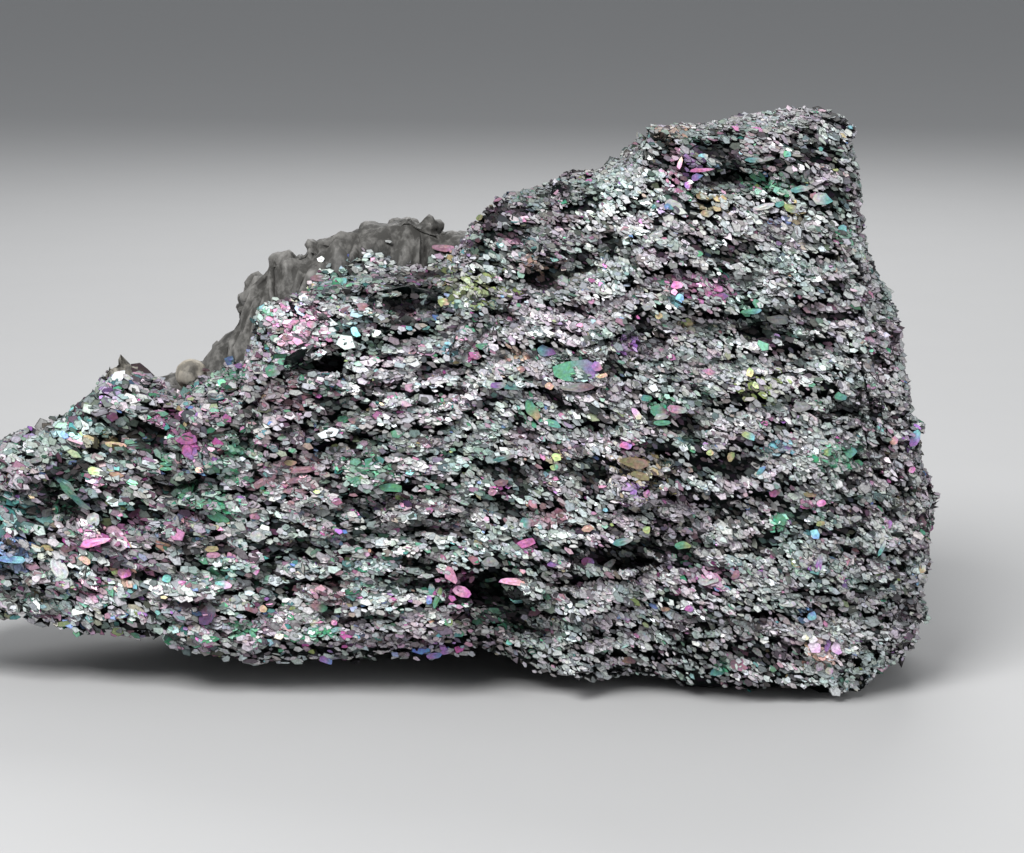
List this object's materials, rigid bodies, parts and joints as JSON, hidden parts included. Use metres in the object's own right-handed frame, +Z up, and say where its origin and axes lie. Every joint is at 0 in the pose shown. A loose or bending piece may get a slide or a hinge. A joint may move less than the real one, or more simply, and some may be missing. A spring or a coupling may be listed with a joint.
{
  "type": "silicon carbide crystal specimen",
  "caption": "Wedge-shaped mass of thin layered plate crystals, low at one end and tall and blunt at the other, on a flat cut base.",
  "frame": {"origin": "middle of the underside of the specimen's bounding box", "axes": "+X from the narrow end to the blunt end, +Y from the layered face to the back, +Z up"},
  "size_m": [0.1028, 0.0384, 0.0567],
  "materials": {
    "silicon_carbide": "dark grey plate crystals with a bright metallic lustre, and patches of green, pink, violet and gold tarnish"
  },
  "bodies": {
    "root": {"crystal_mass": "silicon_carbide"}
  },
  "joints": []
}
